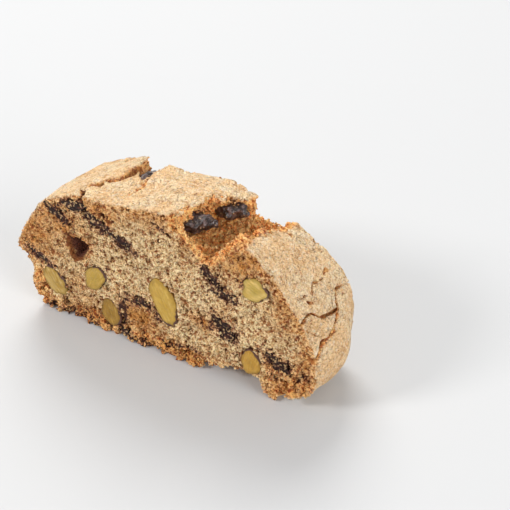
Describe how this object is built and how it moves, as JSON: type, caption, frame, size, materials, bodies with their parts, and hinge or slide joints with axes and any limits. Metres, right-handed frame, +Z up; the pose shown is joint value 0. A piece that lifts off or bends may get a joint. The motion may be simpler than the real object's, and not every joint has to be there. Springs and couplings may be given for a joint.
{
  "type": "biscotti slice",
  "caption": "Slice of pistachio and chocolate biscotti: domed cracked crust, torn valley across the top, crumbly cut faces with nuts and chocolate, flat baked base.",
  "frame": {"origin": "centre of the bounding box's bottom face, on the plane of the flat baked base that the slice lies on", "axes": "+X along the slice, towards the lobe beyond the torn valley; +Y from the front cut face to the back cut face; +Z up from the base"},
  "size_m": [0.097, 0.0252, 0.0481],
  "materials": {
    "biscuit": "matt baked dough, golden crust and open crumb",
    "pistachio": "smooth waxy nut flesh, satin",
    "chocolate": "dark chocolate, soft sheen"
  },
  "bodies": {
    "root": {"biscuit": "biscuit", "chocolate_back_left": "chocolate", "chocolate_back_low": "chocolate", "chocolate_back_middle": "chocolate", "chocolate_back_right": "chocolate", "chocolate_crack": "chocolate", "chocolate_front_arch": "chocolate", "chocolate_front_foot": "chocolate", "chocolate_front_inner": "chocolate", "chocolate_front_ledge": "chocolate", "chocolate_front_low": "chocolate", "chocolate_front_middle": "chocolate", "chocolate_front_right": "chocolate", "chocolate_front_rim": "chocolate", "chocolate_front_shoulder": "chocolate", "chocolate_front_smear": "chocolate", "chocolate_front_streak": "chocolate", "chocolate_valley_back": "chocolate", "chocolate_valley_front": "chocolate", "pistachio_back_left": "pistachio", "pistachio_back_low_right": "pistachio", "pistachio_back_middle": "pistachio", "pistachio_back_right": "pistachio", "pistachio_back_top": "pistachio", "pistachio_front_largest": "pistachio", "pistachio_front_left": "pistachio", "pistachio_front_low_left": "pistachio", "pistachio_front_low_right": "pistachio", "pistachio_front_upper_left": "pistachio", "pistachio_front_upper_right": "pistachio"}
  },
  "joints": []
}
